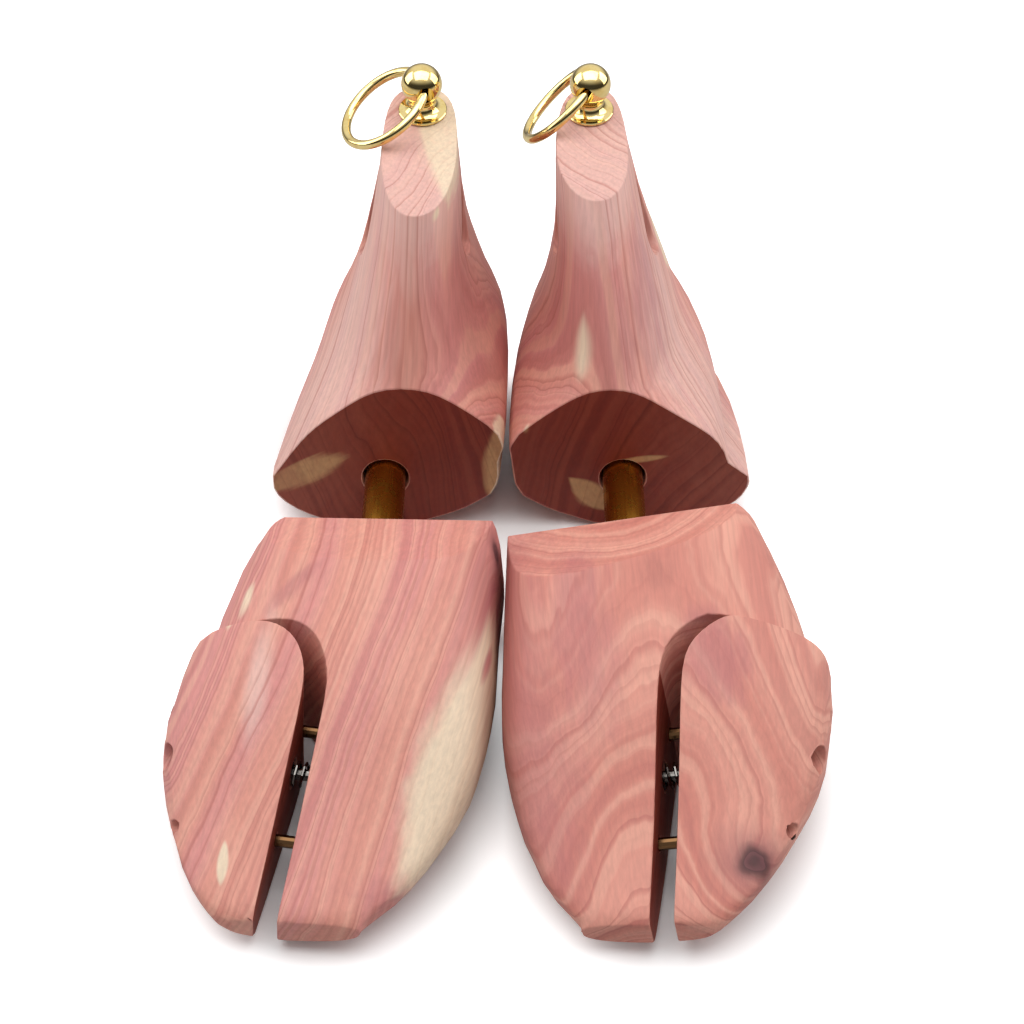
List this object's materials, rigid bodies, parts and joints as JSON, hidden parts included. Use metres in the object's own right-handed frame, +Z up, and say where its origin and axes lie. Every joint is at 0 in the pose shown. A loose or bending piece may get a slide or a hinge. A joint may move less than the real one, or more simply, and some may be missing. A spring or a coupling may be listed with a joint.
{
  "type": "shoe stretcher",
  "caption": "Cedar shoe trees that keep a shoe's shape: a split toe block with a sprung side wedge, on a sprung brass tube in a heel block with a finger slot, knob and pull ring",
  "frame": {"origin": "bottom centre of the pair's bounding box, on the surface that both trees lie on", "axes": "+Z up, -Y towards the toes, +X towards the right tree; the slide tubes run along Y, and the medial sides of the heel blocks face each other near X = 0.002"},
  "size_m": [0.1836, 0.2558, 0.1276],
  "materials": {
    "cedar": "sanded, unfinished, with cream sapwood in places",
    "brass": "polished knob and ring, drawn tube and pins",
    "steel": "drawn spring wire, turned pins and screws"
  },
  "bodies": {
    "left_heel": {"left_heel_block": "cedar", "left_knob": "brass", "left_knob_screw": "steel", "left_stop_pin": "steel", "left_tube_spring": "steel"},
    "left_toe": {"left_toe_block": "cedar", "left_slide_tube": "brass", "left_spring_seat": "steel", "left_tube_pin": "steel", "left_front_guide_pin": "brass", "left_rear_guide_pin": "brass", "left_wedge_screw": "steel", "left_wedge_spring": "steel"},
    "left_wedge": {"left_side_wedge": "cedar"},
    "left_ring": {"left_pull_ring": "brass"},
    "right_heel": {"right_heel_block": "cedar", "right_knob": "brass", "right_knob_screw": "steel", "right_stop_pin": "steel", "right_tube_spring": "steel"},
    "right_toe": {"right_toe_block": "cedar", "right_slide_tube": "brass", "right_spring_seat": "steel", "right_tube_pin": "steel", "right_front_guide_pin": "brass", "right_rear_guide_pin": "brass", "right_wedge_screw": "steel", "right_wedge_spring": "steel"},
    "right_wedge": {"right_side_wedge": "cedar"},
    "right_ring": {"right_pull_ring": "brass"}
  },
  "joints": [
    {"name": "left_toe_slide", "type": "slide", "parent": "left_heel", "child": "left_toe", "axis": [0, 1, 0], "range_m": [0, 0.022], "stiffness_N_per_m": 700, "springref_m": -0.01, "deforming": ["left_tube_spring"]},
    {"name": "left_wedge_slide", "type": "slide", "parent": "left_toe", "child": "left_wedge", "axis": [-0.9922, 0.1039, 0.0696], "range_m": [-0.005, 0], "stiffness_N_per_m": 400, "springref_m": 0.004, "deforming": ["left_wedge_spring"]},
    {"name": "left_ring_swing", "type": "hinge", "parent": "left_heel", "child": "left_ring", "pos_m": [-0.02411, 0.10718, 0.12131], "axis": [-0.225, 0.9581, 0.1776], "range_deg": [0, 248]},
    {"name": "pair_apart", "type": "slide", "parent": "left_heel", "child": "right_heel", "axis": [1, 0, 0], "range_m": [0, 0.1]},
    {"name": "right_toe_slide", "type": "slide", "parent": "right_heel", "child": "right_toe", "axis": [0, 1, 0], "range_m": [0, 0.022], "stiffness_N_per_m": 700, "springref_m": -0.01, "deforming": ["right_tube_spring"]},
    {"name": "right_wedge_slide", "type": "slide", "parent": "right_toe", "child": "right_wedge", "axis": [0.9813, -0.0331, 0.1898], "range_m": [-0.005, 0], "stiffness_N_per_m": 400, "springref_m": 0.004, "deforming": ["right_wedge_spring"]},
    {"name": "right_ring_swing", "type": "hinge", "parent": "right_heel", "child": "right_ring", "pos_m": [0.02749, 0.10718, 0.12131], "axis": [0.3256, 0.9297, 0.1723], "range_deg": [0, 250]}
  ]
}
